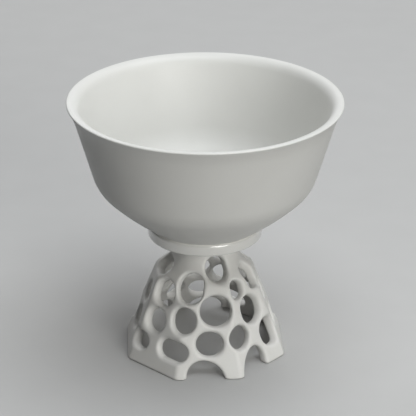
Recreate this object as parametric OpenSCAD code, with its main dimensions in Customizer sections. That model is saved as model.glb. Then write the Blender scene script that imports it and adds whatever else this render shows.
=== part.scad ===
// Stem cup: a flared porcelain bowl on a turned foot ring, luted to a hollow eight-sided stem that is
// pierced all round with a net of round holes and stands on feet between low arches.
// Millimetres, +Z up. The origin is the centre of the footprint, and one flat side of the stem faces -Y.

/* [Bowl] */
// Diameter across the lip
lip_d = 87.6; // [80:0.2:98]
// Height of the bowl from its underside to the top of the lip
bowl_h = 42.2; // [37:0.2:50]
// How far the lip turns out past the straight wall
lip_flare = 0.9; // [0.5:0.1:2.5]
// Height over which the lip turns out
lip_flare_h = 5.5; // [4:0.5:12]
// Radius that rounds the lip's outer edge
lip_edge = 0.4; // [0.3:0.1:0.8]
// Depth over which the lip rolls over into the inner wall
lip_roll = 2.6; // [1.5:0.1:4]
// Diameter where the straight wall meets the belly
knee_d = 70.4; // [62:0.2:74]
// Height of that knee above the underside of the bowl
knee_h = 14.7; // [12:0.1:18]
// Length of wall and of belly that the rounded knee takes up
knee_round = 2.5; // [1:0.5:7]
// How far the belly swells out past a straight cone
belly_swell = 0.6; // [0.2:0.1:1.4]
// Thickness of the bowl's wall
bowl_wall = 2.4; // [1.8:0.1:3.2]
// Thickness of the bowl's floor
floor_t = 2.8; // [2.2:0.1:3.8]

/* [Foot ring] */
// Diameter of the ring
ring_d = 37.3; // [34:0.1:42]
// Height of the ring below the bowl
ring_h = 4; // [2.6:0.1:6]
// Radial thickness of the ring
ring_wall = 3.6; // [2.6:0.1:4.6]
// Radius that rounds the ring's lower edges
ring_edge = 0.6; // [0.3:0.1:1.2]
// Radius that rounds the ring's upper edge, where it stands out past the bowl
ring_shoulder = 0.4; // [0.2:0.1:0.8]

/* [Stem] */
// Height from the table to the lower edge of the foot ring
stem_h = 40.8; // [38:0.2:50]
// Width of the eight-sided base across its corners
base_w = 56.4; // [50:0.2:64]
// Width across the corners at the shoulder
shoulder_w = 34.4; // [31:0.2:40]
// Height of the shoulder above the table
shoulder_h = 27.5; // [25:0.5:29]
// Diameter of the neck
neck_d = 20.2; // [18:0.2:23]
// Height of the roof from the shoulder up to the foot of the neck
roof_h = 4.5; // [3.5:0.1:7]
// Length of roof and of neck that the hollow curve between them takes up
neck_round = 4; // [2:0.5:5]
// Thickness of the stem's wall
stem_wall = 3.2; // [2.4:0.1:4]

/* [Piercing] */
// Thinnest web left between two neighbouring holes
web_t = 1.2; // [1:0.1:2.6]
// How much a hole's radius shrinks for each millimetre of depth
hole_draft = 0.16; // [0.05:0.01:0.25]
// Width of the arches in the front and back sides, at the table
front_arch_w = 12; // [8:0.2:14]
// Height of the arches in the front and back sides
front_arch_h = 5.6; // [3:0.2:8]
// Width of the arches in the two sides next to those, at the table
side_arch_w = 10.6; // [7:0.2:12]
// Height of the arches in the two sides next to those
side_arch_h = 7.2; // [4:0.2:9]

/* [Luting] */
// Thickness of the fired slip in the joints
slip_t = 0.3; // [0.2:0.1:0.6]
// Width of the bead of slip round the top of the neck
slip_bead = 1.2; // [0.6:0.1:1.8]

/* [Hidden] */

porcelain = "whitesmoke";
glazed = "gainsboro";
slip = "linen";

sides = 8;
round_fn = 180;
hole_fn = 48;
curve_steps = 10;
arch_steps = 24;
past = 1;

// Heights of the foot of the neck, the underside of the bowl and the joints above the table
neck_foot_h = shoulder_h + roof_h;
bowl_z = stem_h + ring_h;
joint_z = bowl_z - slip_t;

ring_r = ring_d / 2;
ring_bore_r = ring_r - ring_wall;
seat_r = ring_r - ring_shoulder;
neck_r = neck_d / 2;
neck_bore_r = neck_r - stem_wall;

function lerp(a, b, t) = a + (b - a) * t;
function unit(v) = v / norm(v);
// A curve from a to b that leaves and arrives along the lines through corner
function bend(a, corner, b, t) = lerp(lerp(a, corner, t), lerp(corner, b, t), t);

// Quarter round about a middle, from a heading in degrees anticlockwise
function quarter(middle, r, heading) = [
    for (i = [0 : curve_steps])
    let (a = heading + 90 * i / curve_steps)
    middle + r * [cos(a), sin(a)]
];

// Skin of the bowl before its lip turns out, as [radius, height above the underside], from the foot ring up
knee = [knee_d / 2, knee_h];
lip_end = [lip_d / 2, bowl_h - lip_edge];
wall_run = lip_end - [lip_flare, 0] - knee;
belly_run = knee - [seat_r, 0];
belly_out = unit([belly_run[1], -belly_run[0]]);
function belly(t) = [seat_r, 0] + belly_run * t + belly_out * belly_swell * 4 * t * (1 - t);
function wall(t) = knee + wall_run * t;
belly_stop = 1 - knee_round / norm(belly_run);
wall_start = knee_round / norm(wall_run);
PLAIN_SKIN = concat(
    [for (i = [0 : curve_steps - 1]) belly(belly_stop * i / curve_steps)],
    [for (i = [0 : curve_steps - 1]) bend(belly(belly_stop), knee, wall(wall_start), i / curve_steps)],
    [for (i = [0 : curve_steps * 2 - 1]) wall(lerp(wall_start, 1, i / curve_steps / 2))]
);
skin_last = len(PLAIN_SKIN) - 1;
// How far into the flare a height lies: nought at its start, one at the lip
function flare_share(z) = max(0, 1 - (lip_end[1] - z) / lip_flare_h);
OUTER_SKIN = [for (p = PLAIN_SKIN) p + [lip_flare * pow(flare_share(p[1]), 2), 0]];
// Direction out of the plain skin at one of its points
function skin_out(i) =
    let (d = PLAIN_SKIN[min(i + 1, skin_last)] - PLAIN_SKIN[max(i - 1, 0)])
    unit([d[1], -d[0]]);
INNER_SKIN = [
    for (i = [0 : skin_last])
    let (p = PLAIN_SKIN[i] - skin_out(i) * bowl_wall)
    if (p[1] < bowl_h - lip_roll)
    [p[0], max(p[1], floor_t)]
];
// The lip is rounded outside, and rolls over from its crest into the inner wall
inner_last = len(INNER_SKIN) - 1;
inner_end = INNER_SKIN[inner_last];
crest = [lip_end[0] - lip_edge, bowl_h];
roll_corner = inner_end + wall_run * (bowl_h - inner_end[1]) / wall_run[1];

module bowl() {
    color(porcelain)
    translate([0, 0, bowl_z])
    rotate_extrude($fn = round_fn)
    polygon(concat(
        [[0, 0]],
        OUTER_SKIN,
        quarter([crest[0], lip_end[1]], lip_edge, 0),
        [for (i = [1 : curve_steps - 1]) bend(crest, roll_corner, inner_end, i / curve_steps)],
        [for (i = [inner_last : -1 : 0]) INNER_SKIN[i]],
        [[0, floor_t]]
    ));
}

module foot_ring() {
    color(glazed)
    translate([0, 0, stem_h])
    rotate_extrude($fn = round_fn)
    polygon(concat(
        quarter([ring_bore_r + ring_edge, ring_edge], ring_edge, 180),
        quarter([ring_r - ring_edge, ring_edge], ring_edge, 270),
        quarter([seat_r, ring_h - slip_t - ring_shoulder], ring_shoulder, 0),
        [[ring_bore_r, ring_h - slip_t]]
    ));
}

module ring_luting() {
    color(slip)
    translate([0, 0, joint_z])
    rotate_extrude($fn = round_fn)
    polygon([[ring_bore_r, 0], [seat_r, 0], [seat_r, slip_t], [ring_bore_r, slip_t]]);
}

// The stem's skin: eight leaning sides under a round roof that curves up into the neck
corner_cos = cos(180 / sides);
side_taper = (base_w - shoulder_w) / 2 / shoulder_h;
side_lean = atan(side_taper * corner_cos);
roof_draw = (shoulder_w / 2 - neck_r) / roof_h;
roof_lean = atan(roof_draw);
skirt_top_z = neck_foot_h + neck_round;
function corner_r(z) = base_w / 2 - side_taper * z;
function roof_r(z) = max(neck_r, neck_r + roof_draw * (neck_foot_h - z));
function off_side(turn) = turn - 360 / sides * round(turn * sides / 360);
function skin_r(turn, z) = min(corner_r(z) * corner_cos / cos(off_side(turn)), roof_r(z));

// The eight sides from the height low up, moved in square to themselves by inset
module leaning_sides(inset, low) {
    in_r = inset / cos(side_lean) / corner_cos;
    low_r = corner_r(low) - in_r;
    top_r = corner_r(skirt_top_z) - in_r;
    rotate(180 / sides)
    translate([0, 0, low])
    cylinder(r1 = low_r, r2 = top_r, h = skirt_top_z - low, $fn = sides);
}

// The roof and the start of the neck, moved in square to themselves by inset
module roof(inset) {
    foot = [neck_r - inset, neck_foot_h - inset * (1 / cos(roof_lean) - 1) / roof_draw];
    low = foot + [roof_draw, -1] * (foot[1] + past);
    roof_run = unit([roof_draw, -1]) * neck_round;
    rotate_extrude($fn = round_fn)
    polygon(concat(
        [[0, -past], low],
        [for (i = [0 : curve_steps]) bend(foot + roof_run, foot, foot + [0, neck_round], i / curve_steps)],
        [[neck_r - inset, skirt_top_z + past], [0, skirt_top_z + past]]
    ));
}

module skirt(inset, low) {
    intersection() {
        leaning_sides(inset, low);
        roof(inset);
    }
}

// Holes: [turn from the front, rise, radius as drawn, stretch, heading of the stretch]. Rise and stretch
// are shares of the height of the net. The first list is cut square to the sides of one half of the stem,
// and repeated half a turn round. The second goes all round and is cut into the roof.
SIDE_HOLES = [
    [17, 1, 3.2, 0.05, 90], [-20.5, 0.845, 4, 0.065, 90], [-52, 0.7, 3.8, 0.03, 90],
    [36.5, 0.79, 2.5, 0.04, 90], [8.5, 0.58, 4.9, 0, 0], [-23.5, 0.47, 3.9, 0.035, 90],
    [49, 0.49, 4, 0.025, 90], [-54.5, 0.36, 3.75, 0.01, 90], [90, 0.53, 3.4, 0, 0],
    [90, 0.17, 3.8, 0, 0], [-66, 0.08, 2.8, 0.13, -6], [-30, 0.1, 3.25, 0.165, -4],
    [1, 0.2, 3.8, 0.03, 0], [28.5, 0.24, 3.5, 0.025, 60], [63, 0.15, 4.2, 0.03, 90]
];
ROOF_HOLES = [[68, 0.855, 3.3, 0.1, 90], [112, 0.925, 2.3, 0, 0], [-84, 0.93, 3.05, 0.115, 0]];
half_turns = [0, 180];

// The net reaches from the top of the front arch to the foot of the neck
net_h = neck_foot_h - front_arch_h;
function around(turn) = [sin(turn), -cos(turn), 0];
function beside(turn) = [cos(turn), sin(turn), 0];
// Unit vector up the wall at a hole that points up by tilt
function up_wall(turn, tilt) = [0, 0, cos(tilt)] - around(turn) * sin(tilt);
// A stretched hole is a pair of round cuts, each [middle of the hole, middle of the cut, turn, tilt, radius]
function cuts(holes, tilt, turns) = [
    for (start = turns, hole = holes, end = hole[3] > 0 ? [-1, 1] : [0])
    let (
        turn = hole[0] + start,
        z = front_arch_h + hole[1] * net_h,
        along = beside(turn) * cos(hole[4]) + up_wall(turn, tilt) * sin(hole[4]),
        middle = around(turn) * skin_r(turn, z) + [0, 0, z]
    )
    [middle, middle + along * end * hole[3] * net_h / 2, turn, tilt, hole[2]]
];
// Tilt of the holes in the roof, and how far past the wall every hole is cut
roof_tilt = 36;
cut_past = 2.6;
cut_depth = stem_wall + cut_past;
CUTS = concat(cuts(SIDE_HOLES, side_lean, half_turns), cuts(ROOF_HOLES, roof_tilt, [0]));

// One share for all radii, so that the closest two holes keep a web of web_t between them
fill = min([
    for (i = [0 : len(CUTS) - 2], j = [i + 1 : len(CUTS) - 1])
    if (CUTS[i][0] != CUTS[j][0])
    (norm(CUTS[i][1] - CUTS[j][1]) - web_t) / (CUTS[i][4] + CUTS[j][4])
]);

// A hole narrows towards the inside, as the space for it does
module hole_cut(cut) {
    r = cut[4] * fill;
    in_r = r - hole_draft * cut_depth;
    out_r = r + hole_draft * past;
    translate(cut[1])
    rotate([0, 90 - cut[3], cut[2] - 90])
    translate([0, 0, -cut_depth])
    cylinder(r1 = in_r, r2 = out_r, h = cut_depth + past, $fn = hole_fn);
}

// Arches of one half of the stem, cut freehand: [turn of the side, width, height, shift along the side,
// lean of the top], the last two as shares of the width
ARCHES = [
    [0, front_arch_w, front_arch_h, -0.075, -0.065],
    [360 / sides, side_arch_w, side_arch_h, -0.32, 0.14]
];
arch_depth = base_w / 4;

// A leaning half ellipse through the wall
module arch_cut(arch) {
    width = arch[1];
    rotate(arch[0])
    translate([arch[3] * width, -arch_depth, 0])
    rotate([90, 0, 0])
    linear_extrude(arch_depth)
    polygon(concat(
        [[width / 2, -past]],
        [for (i = [0 : arch_steps])
            let (a = 180 * i / arch_steps)
            [width * (cos(a) / 2 + arch[4] * sin(a)), arch[2] * sin(a)]],
        [[-width / 2, -past]]
    ));
}

module stem() {
    color(porcelain)
    difference() {
        union() {
            skirt(0, 0);
            translate([0, 0, neck_foot_h])
            cylinder(r = neck_r, h = joint_z - neck_foot_h, $fn = round_fn);
        }
        skirt(stem_wall, -past);
        translate([0, 0, neck_foot_h])
        cylinder(r = neck_bore_r, h = stem_h, $fn = round_fn);
        for (cut = CUTS) hole_cut(cut);
        for (half = half_turns, arch = ARCHES) rotate(half) arch_cut(arch);
    }
}

// Slip between the top of the neck and the bowl, with a bead round the neck
module stem_luting() {
    color(slip)
    translate([0, 0, joint_z])
    rotate_extrude($fn = round_fn)
    polygon([
        [neck_bore_r, 0], [neck_r, 0], [neck_r, -slip_bead],
        [neck_r + slip_bead, slip_t], [neck_bore_r, slip_t]
    ]);
}

bowl();
foot_ring();
ring_luting();
stem();
stem_luting();
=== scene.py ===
import math

import bpy
from mathutils import Matrix, Vector


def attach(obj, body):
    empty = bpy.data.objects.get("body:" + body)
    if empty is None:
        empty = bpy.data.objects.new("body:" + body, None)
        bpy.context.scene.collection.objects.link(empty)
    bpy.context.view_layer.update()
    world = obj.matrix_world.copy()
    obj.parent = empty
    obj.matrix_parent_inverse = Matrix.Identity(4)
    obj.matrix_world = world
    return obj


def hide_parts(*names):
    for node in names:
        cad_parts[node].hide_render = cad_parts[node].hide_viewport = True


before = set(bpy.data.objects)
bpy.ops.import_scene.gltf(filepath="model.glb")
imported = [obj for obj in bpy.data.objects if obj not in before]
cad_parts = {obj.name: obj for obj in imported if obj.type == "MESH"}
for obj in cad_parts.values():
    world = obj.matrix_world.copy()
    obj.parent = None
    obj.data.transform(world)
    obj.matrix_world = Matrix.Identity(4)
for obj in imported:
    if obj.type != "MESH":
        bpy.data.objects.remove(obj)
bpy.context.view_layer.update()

# Stem: a hollow eight-sided stand whose roof runs up into a round neck, in white porcelain.
# It is cast in one piece and pierced freehand while the clay is leather hard; a damp sponge then
# rounds every cut edge. The net in the sides repeats half a turn round, and low arches cut the feet.
MM = 0.001
SIDES = 8
STEM_BASE_R = 28.2
STEM_SHOULDER_R = 17.2
STEM_SHOULDER_H = 27.5
STEM_ROOF_H = 4.5
STEM_NECK_R = 10.1
STEM_TOP_H = 44.5
STEM_WALL = 3.2
# Holes in the sides of one half: turn from the front, height, radius, stretch, heading of the stretch
SIDE_HOLES = [
    (17, 32, 3.4, 1.4, 90), (-20.5, 27.8, 4.3, 1.9, 90), (-52.5, 24, 4, 1, 90), (36.8, 26, 2.6, 1.4, 90),
    (8.5, 20.9, 5.2, 0, 0), (-23.5, 18, 4.2, 0.9, 90), (49, 18.6, 4.3, 1, 90), (-54.5, 15.1, 4, 0.3, 90),
    (90, 19.8, 3.6, 0, 0), (90, 10.2, 4, 0, 0), (-66, 7.7, 2.9, 3.4, -6), (-30, 8.2, 3.4, 4.4, -4),
    (1.2, 10.9, 4.1, 0.8, 0), (28.5, 12, 3.8, 0.6, 60), (63, 9.6, 4.4, 0.8, 90),
]
# Holes all round the roof, which also say how far up they point
ROOF_HOLES = [(68, 28.2, 3.5, 2.6, 90, 36), (112, 30, 2.4, 0, 0, 36), (-84, 30.2, 3.2, 3, 0, 36)]
# Arches, each with its like on the opposite side: turn from the front, shift, width, height, lean
ARCHES = [(0, -0.9, 12, 5.6, -0.8), (45, -3.4, 10.6, 7.2, 1.5)]

stem_sizes = {
    "Base Radius": STEM_BASE_R, "Shoulder Radius": STEM_SHOULDER_R, "Shoulder Height": STEM_SHOULDER_H,
    "Roof Height": STEM_ROOF_H, "Neck Radius": STEM_NECK_R, "Top Height": STEM_TOP_H, "Wall": STEM_WALL,
    "Taper Past Roof": 4.0, "Corner Softness": 1.0, "Shoulder Softness": 1.2, "Neck Softness": 7.5,
    "Bore Softness": 6.0, "Wall Softness": 1.2, "Foot Softness": 1.0, "Edge Softness": 1.2,
    "Hole Draft": 0.1, "Hole Reach": 9.0, "Arch Start": 12.0, "Rim Dish": 0.4, "Rim Depth": 1.6,
    "Holes": 2 * len(SIDE_HOLES) + len(ROOF_HOLES),
}
side_taper = (STEM_BASE_R - STEM_SHOULDER_R) / STEM_SHOULDER_H
apothem = math.cos(math.pi / SIDES)
side_lean = math.atan(side_taper * apothem)
roof_draw = (STEM_SHOULDER_R - STEM_NECK_R) / STEM_ROOF_H
neck_foot_h = STEM_SHOULDER_H + STEM_ROOF_H


def stem_skin(turn, height):
    """Radius of the stem's outer skin at a turn from the front and a height."""
    off_side = turn - 360 / SIDES * round(turn * SIDES / 360)
    side = (STEM_BASE_R - side_taper * height) * apothem / math.cos(math.radians(off_side))
    return min(side, max(STEM_NECK_R, STEM_NECK_R + roof_draw * (neck_foot_h - height)))


def hole_points():
    """A mesh of one point for each hole, with its axis, radius and half stretch as attributes."""
    side_tilt = math.degrees(side_lean)
    rows = [(turn + half, *rest, side_tilt) for half in (0, 180) for turn, *rest in SIDE_HOLES]
    middles, axes, radii, half_stretches = [], [], [], []
    for turn, height, radius, stretch, heading, tilt in rows + ROOF_HOLES:
        a, tip, way = math.radians(turn), math.radians(tilt), math.radians(heading)
        out = Vector((math.sin(a), -math.cos(a), 0))
        along = Vector((math.cos(a), math.sin(a), 0))
        up_wall = Vector((0, 0, math.cos(tip))) - out * math.sin(tip)
        middles.append(out * stem_skin(turn, height) + Vector((0, 0, height)))
        axes.append(out * math.cos(tip) + Vector((0, 0, math.sin(tip))))
        radii.append(radius)
        half_stretches.append((along * math.cos(way) + up_wall * math.sin(way)) * stretch / 2)
    mesh = bpy.data.meshes.new("stem_holes")
    mesh.from_pydata(middles, [], [])
    for name, kind, field, values in (
        ("axis", "FLOAT_VECTOR", "vector", [c for v in axes for c in v]),
        ("half_stretch", "FLOAT_VECTOR", "vector", [c for v in half_stretches for c in v]),
        ("radius", "FLOAT", "value", radii),
    ):
        mesh.attributes.new(name, kind, "POINT").data.foreach_set(field, values)
    return mesh


def add(tree, kind, feeds=None, **settings):
    """Adds a node to a tree, sets it up and feeds its inputs with values or other nodes' outputs."""
    made = tree.nodes.new(kind)
    for name, value in settings.items():
        setattr(made, name, value)
    for key, value in (feeds or {}).items():
        if isinstance(value, bpy.types.NodeSocket):
            tree.links.new(value, made.inputs[key])
        else:
            made.inputs[key].default_value = value
    return made


def sums(tree):
    """Two shorthands for a tree: one adds a Math node, the other a Vector Math node."""
    def num(operation, *values):
        return add(tree, "ShaderNodeMath", dict(enumerate(values)), operation=operation).outputs[0]

    def vec(operation, *values):
        keys = (0, "Scale") if operation == "SCALE" else range(len(values))
        made = add(tree, "ShaderNodeVectorMath", dict(zip(keys, values)), operation=operation)
        return made.outputs["Value" if operation in ("DOT_PRODUCT", "LENGTH") else "Vector"]

    return num, vec


def new_tree(name, sizes):
    """A Geometry Nodes tree with a named input for each size. Returns it with its inputs."""
    tree = bpy.data.node_groups.new(name, "GeometryNodeTree")
    tree.interface.new_socket("Geometry", in_out="INPUT", socket_type="NodeSocketGeometry")
    tree.interface.new_socket("Geometry", in_out="OUTPUT", socket_type="NodeSocketGeometry")
    for label, value in sizes.items():
        kind = "NodeSocketInt" if isinstance(value, int) else "NodeSocketFloat"
        tree.interface.new_socket(label, in_out="INPUT", socket_type=kind)
    return tree, tree.nodes.new("NodeGroupInput").outputs


def through(tree, kind, shape, feeds=None, **settings):
    """Sends a shape through a node of a tree and returns what comes out."""
    return add(tree, kind, {"Geometry": shape, **(feeds or {})}, **settings).outputs[0]


def end_tree(tree, shape, material):
    """Ends a tree: its instances are made real, and the shape gets its material and goes out."""
    shape = through(tree, "GeometryNodeRealizeInstances", shape)
    shape = through(tree, "GeometryNodeSetMaterial", shape, {"Material": material})
    add(tree, "NodeGroupOutput", {"Geometry": shape})


def grow(name, mesh, tree, sizes):
    """Runs a tree on a mesh with these sizes and returns the result as an object with a plain mesh."""
    piece = bpy.data.objects.new(name, mesh)
    bpy.context.scene.collection.objects.link(piece)
    modifier = piece.modifiers.new("grow", "NODES")
    modifier.node_group = tree
    for item in tree.interface.items_tree:
        if item.in_out == "INPUT" and item.name in sizes:
            modifier[item.identifier] = sizes[item.name]
    grown = piece.evaluated_get(bpy.context.evaluated_depsgraph_get())
    plain = bpy.data.meshes.new_from_object(grown)
    piece.modifiers.remove(modifier)
    piece.data = plain
    plain.name = name
    return piece


def stem_tree(material):
    """Reckons how far every point of a box is from the pierced stem, and skins where that is nought."""
    voxel = 0.36
    spare_beside, spare_above = 1.0, 1.5
    far_off = 100.0
    no_stretch = 1e-6
    tree, size = new_tree("pierced_stem", stem_sizes)
    num, vec = sums(tree)
    at = add(tree, "GeometryNodeInputPosition").outputs[0]
    x, y, z = add(tree, "ShaderNodeSeparateXYZ", {0: at}).outputs

    def minus(value):
        return num("MULTIPLY", value, -1.0)

    def between(low, value, high):
        return num("MAXIMUM", num("MINIMUM", value, high), low)

    # Eight leaning sides, of which the mirror planes leave three to reckon
    ax, ay = num("ABSOLUTE", x), num("ABSOLUTE", y)
    slant = num("MULTIPLY", num("ADD", ax, ay), math.sqrt(0.5))
    across = num("SMOOTH_MAX", ax, ay, size["Corner Softness"])
    across = num("SMOOTH_MAX", across, slant, size["Corner Softness"])
    foot_h = num("ADD", size["Shoulder Height"], size["Roof Height"])
    taper = num("SUBTRACT", size["Base Radius"], size["Shoulder Radius"])
    taper = num("DIVIDE", taper, size["Shoulder Height"])
    taper_h = num("MINIMUM", z, num("ADD", foot_h, size["Taper Past Roof"]))
    corner = num("SUBTRACT", size["Base Radius"], num("MULTIPLY", taper, taper_h))
    sides = num("SUBTRACT", across, num("MULTIPLY", corner, apothem))
    sides = num("MULTIPLY", sides, math.cos(side_lean))

    # The roof, a cone that turns up into the neck
    flat = add(tree, "ShaderNodeCombineXYZ", {0: x, 1: y}).outputs[0]
    from_neck = num("SUBTRACT", vec("LENGTH", flat), size["Neck Radius"])
    draw = num("SUBTRACT", size["Shoulder Radius"], size["Neck Radius"])
    draw = num("DIVIDE", draw, size["Roof Height"])
    cone = num("SUBTRACT", from_neck, num("MULTIPLY", draw, num("SUBTRACT", foot_h, z)))
    cone = num("DIVIDE", cone, num("SQRT", num("ADD", num("MULTIPLY", draw, draw), 1.0)))

    def body(inset, neck_softness):
        roof = num("SMOOTH_MIN", num("ADD", cone, inset), num("ADD", from_neck, inset), neck_softness)
        return num("SMOOTH_MAX", num("ADD", sides, inset), roof, size["Shoulder Softness"])

    outside = body(0.0, size["Neck Softness"])
    inside = body(size["Wall"], size["Bore Softness"])
    shell = num("SMOOTH_MAX", outside, minus(inside), size["Wall Softness"])
    shell = num("SMOOTH_MAX", shell, minus(z), size["Foot Softness"])
    shell = num("MAXIMUM", shell, num("SUBTRACT", z, size["Top Height"]))

    # Every hole in turn: a round tunnel along its axis, drawn out by its stretch, that narrows inward
    start = add(tree, "GeometryNodeRepeatInput")
    stop = add(tree, "GeometryNodeRepeatOutput")
    start.pair_with_output(stop)
    stop.repeat_items.clear()
    stop.repeat_items.new("FLOAT", "Gap")
    tree.links.new(size["Holes"], start.inputs["Iterations"])
    start.inputs["Gap"].default_value = far_off

    def of_hole(kind, field):
        feeds = {"Geometry": size["Geometry"], "Value": field, "Index": start.outputs["Iteration"]}
        return add(tree, "GeometryNodeSampleIndex", feeds, data_type=kind, domain="POINT").outputs["Value"]

    def named(kind, name):
        made = add(tree, "GeometryNodeInputNamedAttribute", {"Name": name}, data_type=kind)
        return of_hole(kind, made.outputs["Attribute"])

    axis, reach = named("FLOAT_VECTOR", "axis"), named("FLOAT_VECTOR", "half_stretch")
    away = vec("SUBTRACT", at, of_hole("FLOAT_VECTOR", at))
    depth = vec("DOT_PRODUCT", away, axis)
    square = vec("SUBTRACT", away, vec("SCALE", axis, depth))
    reach_squared = num("MAXIMUM", vec("DOT_PRODUCT", reach, reach), no_stretch)
    drawn = between(-1.0, num("DIVIDE", vec("DOT_PRODUCT", square, reach), reach_squared), 1.0)
    width = num("ADD", named("FLOAT", "radius"), num("MULTIPLY", depth, size["Hole Draft"]))
    tunnel = vec("LENGTH", vec("SUBTRACT", square, vec("SCALE", reach, drawn)))
    tunnel = num("SUBTRACT", tunnel, width)
    tunnel = num("MAXIMUM", tunnel, num("SUBTRACT", minus(size["Hole Reach"]), depth))
    tree.links.new(num("MINIMUM", start.outputs["Gap"], tunnel), stop.inputs["Gap"])
    gap = stop.outputs["Gap"]

    # Arches: leaning half ellipses, in pairs on opposite sides
    for turn, shift, width, height, lean in ARCHES:
        c, s = math.cos(math.radians(turn)), math.sin(math.radians(turn))
        out = vec("DOT_PRODUCT", at, (s, -c, 0.0))
        along = num("MULTIPLY", vec("DOT_PRODUCT", at, (c, s, 0.0)), num("SIGN", out))
        rise = num("DIVIDE", z, height)
        lean_here = num("MULTIPLY", num("MAXIMUM", rise, 0.0), lean)
        beside = num("DIVIDE", num("SUBTRACT", num("SUBTRACT", along, shift), lean_here), width / 2)
        ellipse = add(tree, "ShaderNodeCombineXYZ", {0: beside, 1: rise}).outputs[0]
        arch = num("MULTIPLY", num("SUBTRACT", vec("LENGTH", ellipse), 1.0), min(width / 2, height))
        arch = num("MAXIMUM", arch, num("SUBTRACT", size["Arch Start"], num("ABSOLUTE", out)))
        gap = num("MINIMUM", gap, arch)

    # The sponge dishes the rims, most at the skin
    near = between(0.0, num("ADD", num("DIVIDE", outside, size["Rim Depth"]), 1.0), 1.0)
    dished = num("SUBTRACT", gap, num("MULTIPLY", num("MULTIPLY", near, near), size["Rim Dish"]))
    solid = num("SMOOTH_MAX", shell, minus(dished), size["Edge Softness"])

    # The skin of the solid, with the distances that its material reads
    edge = math.ceil(STEM_BASE_R * apothem) + spare_beside
    low, high = (-edge, -edge, -spare_above), (edge, edge, math.ceil(STEM_TOP_H) + spare_above)
    counts = [round((b - a) / voxel) + 1 for a, b in zip(low, high)]
    block = add(tree, "GeometryNodeVolumeCube", {
        "Density": minus(solid), "Background": -1.0, "Min": low, "Max": high,
        "Resolution X": counts[0], "Resolution Y": counts[1], "Resolution Z": counts[2],
    })
    skin = add(tree, "GeometryNodeVolumeToMesh", {"Volume": block.outputs[0], "Threshold": 0.0})
    shape = skin.outputs[0]
    per_point = {"data_type": "FLOAT", "domain": "POINT"}
    for name, value in (("hole_gap", gap), ("skin_depth", minus(outside))):
        feeds = {"Name": name, "Value": value}
        shape = through(tree, "GeometryNodeStoreNamedAttribute", shape, feeds, **per_point)
    shape = through(tree, "GeometryNodeSetPosition", shape, {"Position": vec("SCALE", at, MM)})
    shape = through(tree, "GeometryNodeSetShadeSmooth", shape)
    end_tree(tree, shape, material)
    return tree


def mix_tint(tree, share, first, second):
    """Mixes two colours by a share, in a Mix node's sockets for colours, and returns the colour."""
    return add(tree, "ShaderNodeMix", {0: share, 6: first, 7: second}, data_type="RGBA").outputs[2]


def porcelain_skin():
    """A node group for fired porcelain: a mottle in the white, a finer one in the gloss, and a grain."""
    group = bpy.data.node_groups.new("porcelain_skin", "ShaderNodeTree")
    for way, kind, labels in (
        ("INPUT", "NodeSocketColor", ("Light Tint", "Shade Tint")),
        ("INPUT", "NodeSocketFloat", ("Mottle Scale", "Gloss Scale", "Grain Scale")),
        ("INPUT", "NodeSocketFloat", ("Least Roughness", "Most Roughness")),
        ("OUTPUT", "NodeSocketColor", ("Color",)),
        ("OUTPUT", "NodeSocketFloat", ("Roughness", "Grain")),
    ):
        for label in labels:
            group.interface.new_socket(label, in_out=way, socket_type=kind)
    given = group.nodes.new("NodeGroupInput").outputs
    place = add(group, "ShaderNodeTexCoord").outputs["Object"]

    def noise(scale, detail):
        feeds = {"Vector": place, "Scale": scale, "Detail": detail}
        return add(group, "ShaderNodeTexNoise", feeds).outputs[0]

    mottle = add(group, "ShaderNodeMapRange", {
        "Value": noise(given["Mottle Scale"], 3.0), "From Min": 0.35, "From Max": 0.65,
    }).outputs[0]
    gloss = add(group, "ShaderNodeMapRange", {
        "Value": noise(given["Gloss Scale"], 2.0), "From Min": 0.3, "From Max": 0.7,
        "To Min": given["Least Roughness"], "To Max": given["Most Roughness"],
    }).outputs[0]
    add(group, "NodeGroupOutput", {
        "Color": mix_tint(group, mottle, given["Shade Tint"], given["Light Tint"]),
        "Roughness": gloss, "Grain": noise(given["Grain Scale"], 2.0),
    })
    return group


fired_skin = porcelain_skin()


def porcelain(name, light, shade, mottle, gloss, roughness, grain, grain_height):
    """A material of fired porcelain. Returns it with its tree, its shader and the skin's outputs."""
    grain_strength = 0.35
    material = bpy.data.materials.new(name)
    material.use_nodes = True
    tree = material.node_tree
    shader = tree.nodes["Principled BSDF"]
    fired = add(tree, "ShaderNodeGroup", {
        "Light Tint": (*light, 1), "Shade Tint": (*shade, 1), "Mottle Scale": mottle, "Gloss Scale": gloss,
        "Least Roughness": roughness[0], "Most Roughness": roughness[1], "Grain Scale": grain,
    }, node_tree=fired_skin).outputs
    bump = add(tree, "ShaderNodeBump", {
        "Strength": grain_strength, "Distance": grain_height, "Height": fired["Grain"],
    })
    tree.links.new(bump.outputs[0], shader.inputs["Normal"])
    tree.links.new(fired["Color"], shader.inputs["Base Color"])
    tree.links.new(fired["Roughness"], shader.inputs["Roughness"])
    return material, tree, shader, fired


def share_over(tree, attribute, first, last):
    """A share that grows from 0 to 1 as an attribute of the mesh goes from one value to another."""
    read = add(tree, "ShaderNodeAttribute", attribute_name=attribute, attribute_type="GEOMETRY")
    feeds = {"Value": read.outputs["Fac"], "From Min": first, "From Max": last}
    return add(tree, "ShaderNodeMapRange", feeds).outputs[0]


stem_porcelain, tree, shader, fired = porcelain(
    "stem_porcelain", light=(0.83, 0.825, 0.795), shade=(0.80, 0.793, 0.76), mottle=110, gloss=420,
    roughness=(0.42, 0.58), grain=1500, grain_height=0.00006,
)
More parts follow.
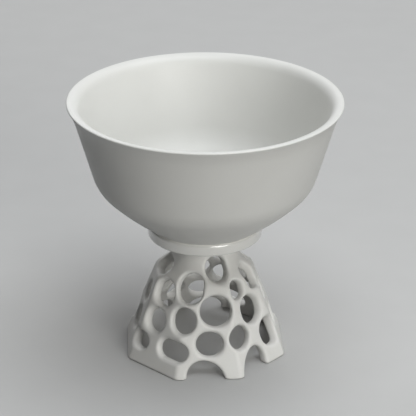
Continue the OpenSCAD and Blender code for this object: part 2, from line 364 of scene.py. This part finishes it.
# Painted highlight: the rims of the holes are painted a little whiter. Painted shade: deeper in the hollow
# the colour darkens, and the surface there turns rougher
RIM_PAINTED_HIGHLIGHT = (0.85, 0.845, 0.82, 1)
RIM_HIGHLIGHT_SHARE = 0.6
RIM_HIGHLIGHT_FADE = (1.4, 0.1)
HOLLOW_PAINTED_SHADE = (0.74, 0.735, 0.71, 1)
HOLLOW_SHADE_SHARE = 0.7
HOLLOW_ROUGHENING = 0.2
HOLLOW_SHADE_AND_ROUGH_FADE = (1.6, 3.2)
num = sums(tree)[0]
# Painted highlight: a whiter colour near the rims of the holes
rim = share_over(tree, "hole_gap", *RIM_HIGHLIGHT_FADE)
# Painted shade: a darker colour deeper in the hollow, where the surface is also made rougher
hollow_shade_and_rough = share_over(tree, "skin_depth", *HOLLOW_SHADE_AND_ROUGH_FADE)
white = mix_tint(tree, num("MULTIPLY", rim, RIM_HIGHLIGHT_SHARE), fired["Color"], RIM_PAINTED_HIGHLIGHT)
white = mix_tint(tree, num("MULTIPLY", hollow_shade_and_rough, HOLLOW_SHADE_SHARE), white, HOLLOW_PAINTED_SHADE)
tree.links.new(white, shader.inputs["Base Color"])
tree.links.new(num("MULTIPLY_ADD", hollow_shade_and_rough, HOLLOW_ROUGHENING, fired["Roughness"]), shader.inputs["Roughness"])

stem = grow("stem_pierced", hole_points(), stem_tree(stem_porcelain), stem_sizes)
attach(stem, "root")
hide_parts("stem")

# Stem luting: the slip that holds the neck to the bowl's underside, with a bead round the neck.
# It is the same clay thinned with water, brushed on and left unglazed inside the foot ring.
# The bead is wiped hollow with a fingertip, and it is turned here from that profile.
BOWL_Z = 44.8
SLIP_T = 0.3
SLIP_BEAD = 1.2
EDGE_STEPS = 10


def quarter(centre, radius, start, rise=None):
    """Points on a quarter round about a centre, from a start in degrees; a rise makes it an ellipse."""
    angles = [math.radians(start + 90 * i / EDGE_STEPS) for i in range(EDGE_STEPS + 1)]
    rise = rise or radius
    return [(centre[0] + radius * math.cos(a), centre[1] + rise * math.sin(a)) for a in angles]


def turned_tree(name, material, sizes):
    """Carries a profile once round the axis, with the slight wander of a hand-turned wall."""
    seam_gap = 0.0005
    wander_scale = 0.04
    still_r = 10.0
    crease_from = math.radians(32)
    tree, size = new_tree(name, sizes)
    num, vec = sums(tree)
    at = add(tree, "GeometryNodeInputPosition").outputs[0]
    spot = add(tree, "ShaderNodeSeparateXYZ", {0: at}).outputs

    # A sheet with one column for each point of the profile is rolled round and sewn up
    profile = size["Geometry"]
    count = through(tree, "GeometryNodeAttributeDomainSize", profile, component="MESH")
    shape = add(tree, "GeometryNodeMeshGrid", {
        "Size X": 1.0, "Size Y": 1.0,
        "Vertices X": count, "Vertices Y": num("ADD", size["Steps Round"], 1.0),
    }).outputs["Mesh"]
    step = num("ROUND", num("MULTIPLY", num("ADD", spot[0], 0.5), num("SUBTRACT", count, 1.0)))
    feeds = {"Value": at, "Index": step}
    per_point = {"data_type": "FLOAT_VECTOR", "domain": "POINT"}
    point = through(tree, "GeometryNodeSampleIndex", profile, feeds, **per_point)
    angle = num("MULTIPLY", num("ADD", spot[1], 0.5), 2 * math.pi)
    rolled = add(tree, "ShaderNodeVectorRotate", {"Vector": point, "Angle": angle}, rotation_type="Z_AXIS")
    shape = through(tree, "GeometryNodeSetPosition", shape, {"Position": rolled.outputs[0]})
    shape = through(tree, "GeometryNodeMergeByDistance", shape, {"Distance": seam_gap})

    # The wall wanders inward by up to the given length, and less and less near the axis
    noise = add(tree, "ShaderNodeTexNoise", {"Vector": at, "Scale": wander_scale, "Detail": 1.0})
    flat = add(tree, "ShaderNodeCombineXYZ", {0: spot[0], 1: spot[1]}).outputs[0]
    give = num("MULTIPLY", noise.outputs[0], num("MULTIPLY", size["Wander"], -1.0))
    give = num("DIVIDE", give, num("MAXIMUM", vec("LENGTH", flat), still_r))
    moved = vec("SCALE", vec("ADD", at, vec("SCALE", flat, give)), MM)
    shape = through(tree, "GeometryNodeSetPosition", shape, {"Position": moved})

    # Smooth all over, apart from the creases
    shape = through(tree, "GeometryNodeSetShadeSmooth", shape, domain="FACE")
    fold = add(tree, "GeometryNodeInputMeshEdgeAngle").outputs["Unsigned Angle"]
    crease = add(tree, "FunctionNodeCompare", {0: fold, 1: crease_from}, operation="GREATER_THAN")
    feeds = {"Selection": crease.outputs[0], "Shade Smooth": False}
    shape = through(tree, "GeometryNodeSetShadeSmooth", shape, feeds, domain="EDGE")
    end_tree(tree, shape, material)
    return tree


def turned(name, profile, material, wander):
    """A piece turned from a chain of points (radius, height)."""
    sizes = {"Steps Round": 256, "Wander": wander}
    mesh = bpy.data.meshes.new(name + "_profile")
    mesh.from_pydata([(r, 0, z) for r, z in profile], [(i, i + 1) for i in range(len(profile) - 1)], [])
    return grow(name, mesh, turned_tree(name + "_turning", material, sizes), sizes)


luting_slip = porcelain(
    "luting_slip", light=(0.78, 0.772, 0.735), shade=(0.74, 0.73, 0.69), mottle=300, gloss=900,
    roughness=(0.7, 0.85), grain=2600, grain_height=0.00012,
)[0]
neck_bore_r = STEM_NECK_R - STEM_WALL
slip_low = BOWL_Z - SLIP_T
bead = quarter((STEM_NECK_R + SLIP_BEAD, BOWL_Z - SLIP_BEAD), SLIP_BEAD, 90)
luting_profile = [
    (neck_bore_r, slip_low), (STEM_NECK_R, slip_low), *reversed(bead),
    (neck_bore_r, BOWL_Z), (neck_bore_r, slip_low),
]
stem_luting = turned("stem_luting_bead", luting_profile, luting_slip, wander=0.0)
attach(stem_luting, "root")
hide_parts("stem_luting")

# Foot ring: the short ring under the bowl, in the same porcelain under a clear, glossy glaze.
# It is turned on the wheel, its edges are rounded, and slip sticks it to the bowl.
RING_R = 18.65
RING_WALL = 3.6
RING_EDGE = 0.6
RING_SHOULDER = 0.4
RING_SHOULDER_H = 1.0
RING_Z = 40.8

ring_bore_r = RING_R - RING_WALL
ring_profile = [
    (ring_bore_r, slip_low),
    *quarter((ring_bore_r + RING_EDGE, RING_Z + RING_EDGE), RING_EDGE, 180),
    *quarter((RING_R - RING_EDGE, RING_Z + RING_EDGE), RING_EDGE, 270),
    *quarter((RING_R - RING_SHOULDER, slip_low - RING_SHOULDER_H), RING_SHOULDER, 0, RING_SHOULDER_H),
    (ring_bore_r, slip_low),
]
ring_glaze, _, shader, _ = porcelain(
    "ring_glaze", light=(0.805, 0.803, 0.772), shade=(0.785, 0.782, 0.75), mottle=140, gloss=500,
    roughness=(0.14, 0.24), grain=1200, grain_height=0.00002,
)
shader.inputs["Coat Weight"].default_value = 1.0
shader.inputs["Coat Roughness"].default_value = 0.05
shader.inputs["Coat IOR"].default_value = 1.8
foot_ring = turned("foot_ring_turned", ring_profile, ring_glaze, wander=0.05)
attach(foot_ring, "root")
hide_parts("foot_ring")

# Ring luting: the thin line of fired slip between the foot ring and the bowl.
# It stays as its flat solid, and only its edge shows, as a fine matt line in the crease.
luting_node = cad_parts["ring_luting"]
luting_node.data.materials.clear()
luting_node.data.materials.append(luting_slip)

# Bowl: thrown in white porcelain, with a low belly, a straight flaring wall and a thin, turned-out lip.
# A satin white glaze covers it inside and out.
# It sits on the foot ring, and inside the ring the neck of the stem is luted to its underside.
LIP_R = 43.8
BOWL_H = 42.2
LIP_FLARE = 0.9
LIP_FLARE_H = 5.5
LIP_EDGE = 0.4
LIP_ROLL = 2.6
KNEE = Vector((35.2, 14.7))
KNEE_ROUND = 3.4
INNER_KNEE_ROUND = 4.0
BELLY_SWELL = 0.6
BOWL_WALL = 2.4
FLOOR_T = 2.8
FLOOR_SOFT = 4.0
BASE_STEPS = 8
BELLY_STEPS = 16
KNEE_STEPS = 12
WALL_STEPS = 36
ROLL_STEPS = 20
WELL_STEPS = 12

lip_end = Vector((LIP_R, BOWL_H - LIP_EDGE))
belly_start = Vector((RING_R - RING_SHOULDER, 0))
belly_run = KNEE - belly_start
belly_out = Vector((belly_run.y, -belly_run.x)).normalized()
wall_run = lip_end - Vector((LIP_FLARE, 0)) - KNEE


def belly(t):
    """A point on the belly, which swells a little, from the foot ring (0) to the knee (1)."""
    return belly_start + belly_run * t + belly_out * BELLY_SWELL * 4 * t * (1 - t)


def bend(a, corner, b, t):
    """A point on the curve from a to b that leaves and arrives along the lines through a corner."""
    return a.lerp(corner, t).lerp(corner.lerp(b, t), t)


def plain_skin(knee_round):
    """The bowl's skin before its lip turns out, from the foot ring up, with a rounded knee."""
    stop, start = 1 - knee_round / belly_run.length, knee_round / wall_run.length
    below, above = belly(stop), KNEE + wall_run * start
    points = [belly(stop * i / BELLY_STEPS) for i in range(BELLY_STEPS)]
    points += [bend(below, KNEE, above, i / KNEE_STEPS) for i in range(KNEE_STEPS)]
    wall = [start + (1 - start) * i / WALL_STEPS for i in range(WALL_STEPS + 1)]
    return points + [KNEE + wall_run * t for t in wall]


def flare(height):
    """How far the lip turns out at a height."""
    return Vector((LIP_FLARE * max(0, 1 - (lip_end.y - height) / LIP_FLARE_H) ** 2, 0))


def soft_floor(height):
    """Lifts the inner skin gently on to the floor, so the two meet in a hollow curve."""
    near = max(FLOOR_SOFT - abs(height - FLOOR_T), 0) / FLOOR_SOFT
    return max(height, FLOOR_T) + near * near * FLOOR_SOFT / 4


outer = [p + flare(p.y) for p in plain_skin(KNEE_ROUND)]
skin_inside = plain_skin(INNER_KNEE_ROUND)
inner = []
for i, p in enumerate(skin_inside):
    run = skin_inside[min(i + 1, len(skin_inside) - 1)] - skin_inside[max(i - 1, 0)]
    q = p - Vector((run.y, -run.x)).normalized() * BOWL_WALL
    if q.y < BOWL_H - LIP_ROLL:
        inner.append(Vector((q.x, soft_floor(q.y))))
# The lip is rounded outside, and rolls over from its crest into the inner wall
crest = Vector((LIP_R - LIP_EDGE, BOWL_H))
roll_corner = inner[-1] + wall_run * (BOWL_H - inner[-1].y) / wall_run.y
lip = quarter((crest.x, lip_end.y), LIP_EDGE, 0)[1:]
lip += [bend(crest, roll_corner, inner[-1], i / ROLL_STEPS) for i in range(1, ROLL_STEPS)]
well_r, well_z = inner[0]
from_wall = [1 - i / WELL_STEPS for i in range(1, WELL_STEPS + 1)]
well = [(well_r * t, FLOOR_T + (well_z - FLOOR_T) * t ** 2) for t in from_wall]
base = [(belly_start.x * i / BASE_STEPS, 0) for i in range(BASE_STEPS)]
bowl_profile = [(r, z + BOWL_Z) for r, z in [*base, *outer, *lip, *reversed(inner), *well]]
bowl_glaze = porcelain(
    "bowl_glaze", light=(0.768, 0.768, 0.742), shade=(0.748, 0.746, 0.719), mottle=45, gloss=300,
    roughness=(0.40, 0.52), grain=1300, grain_height=0.00004,
)[0]
bowl = turned("bowl_thrown", bowl_profile, bowl_glaze, wander=0.12)
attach(bowl, "root")
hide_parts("bowl")

# Floor: a plain pale sheet of paper that the cup stands on, which takes its shadow.
# The eye and mirrors see it pale, but it throws less light back up on to the cup.
FLOOR_HALF = 4.0
FLOOR_PALE = (0.53, 0.53, 0.525, 1), (0.56, 0.56, 0.555, 1)
FLOOR_THROW = (0.18, 0.18, 0.18, 1)
FLOOR_ROUGHNESS = 0.9
FIBRE_SCALE = 60.0

corners = [(x * FLOOR_HALF, y * FLOOR_HALF, 0) for x, y in ((-1, -1), (1, -1), (1, 1), (-1, 1))]
floor_mesh = bpy.data.meshes.new("floor")
floor_mesh.from_pydata(corners, [], [(0, 1, 2, 3)])
floor = bpy.data.objects.new("floor", floor_mesh)
bpy.context.scene.collection.objects.link(floor)
floor_paper = bpy.data.materials.new("floor_paper")
floor_paper.use_nodes = True
tree = floor_paper.node_tree
num = sums(tree)[0]
shader = tree.nodes["Principled BSDF"]
place = add(tree, "ShaderNodeTexCoord").outputs["Object"]
fibre = add(tree, "ShaderNodeTexNoise", {"Vector": place, "Scale": FIBRE_SCALE, "Detail": 3.0})
pale = mix_tint(tree, fibre.outputs[0], *FLOOR_PALE)
path = add(tree, "ShaderNodeLightPath").outputs
seen = num("MAXIMUM", path["Is Camera Ray"], path["Is Glossy Ray"])
seen = num("MAXIMUM", seen, path["Is Transmission Ray"])
tree.links.new(mix_tint(tree, seen, FLOOR_THROW, pale), shader.inputs["Base Color"])
shader.inputs["Roughness"].default_value = FLOOR_ROUGHNESS
floor_mesh.materials.append(floor_paper)

# Light: a soft lamp low in front to the right, a wide one above, two weaker ones behind, and a dim room.
# The lamps are disks that aim at the middle of the cup, at the height of the bowl's knee.
LAMP_AIM = Vector((0, 0, 0.06))
ROOM_STRENGTH = 0.01

scene = bpy.context.scene
scene.view_settings.view_transform = "Standard"
for name, size, power, tint, spot in (
    ("key", 0.6, 5.2, (1, 0.995, 0.965), (0.42, -0.88, 0.3)),
    ("top", 1.0, 8.4, (0.955, 0.98, 1), (0.18, -0.12, 1.04)),
    ("back", 1.3, 3.2, (1, 1, 1), (0.27, 0.74, 0.68)),
    ("fill", 1.2, 3.2, (1, 1, 1), (-0.42, 0.88, 0.32)),
):
    lamp_data = bpy.data.lights.new(name, "AREA")
    lamp_data.shape = "DISK"
    lamp_data.size = size
    lamp_data.energy = power
    lamp_data.color = tint
    lamp = bpy.data.objects.new(name, lamp_data)
    lamp.location = spot
    lamp.rotation_euler = (LAMP_AIM - lamp.location).to_track_quat("-Z", "Y").to_euler()
    scene.collection.objects.link(lamp)
room = bpy.data.worlds.new("room")
room.use_nodes = True
walls = room.node_tree.nodes["Background"]
walls.inputs["Color"].default_value = (1, 1, 1, 1)
walls.inputs["Strength"].default_value = ROOM_STRENGTH
scene.world = room

# Camera: a long lens above the lip, looking down into the bowl, nearly square to one side of the stem.
# Its place is given before it turns about the cup.
CAMERA_PLACE = Vector((0.97, -501.95, 282.96)) * MM
CAMERA_TURN = math.radians(-2.97)
CAMERA_PITCH = math.radians(24.97)
CAMERA_ROLL = math.radians(0.15)
CAMERA_LENS = 147.9
CAMERA_SENSOR = 36

camera_data = bpy.data.cameras.new("camera")
camera_data.sensor_width = CAMERA_SENSOR
camera_data.lens = CAMERA_LENS
camera = bpy.data.objects.new("camera", camera_data)
turn = Matrix.Rotation(CAMERA_TURN, 4, "Z")
tilt = Matrix.Rotation(math.pi / 2 - CAMERA_PITCH, 4, "X")
roll = Matrix.Rotation(CAMERA_ROLL, 4, "Z")
camera.matrix_world = turn @ Matrix.Translation(CAMERA_PLACE) @ tilt @ roll
scene.collection.objects.link(camera)
scene.camera = camera
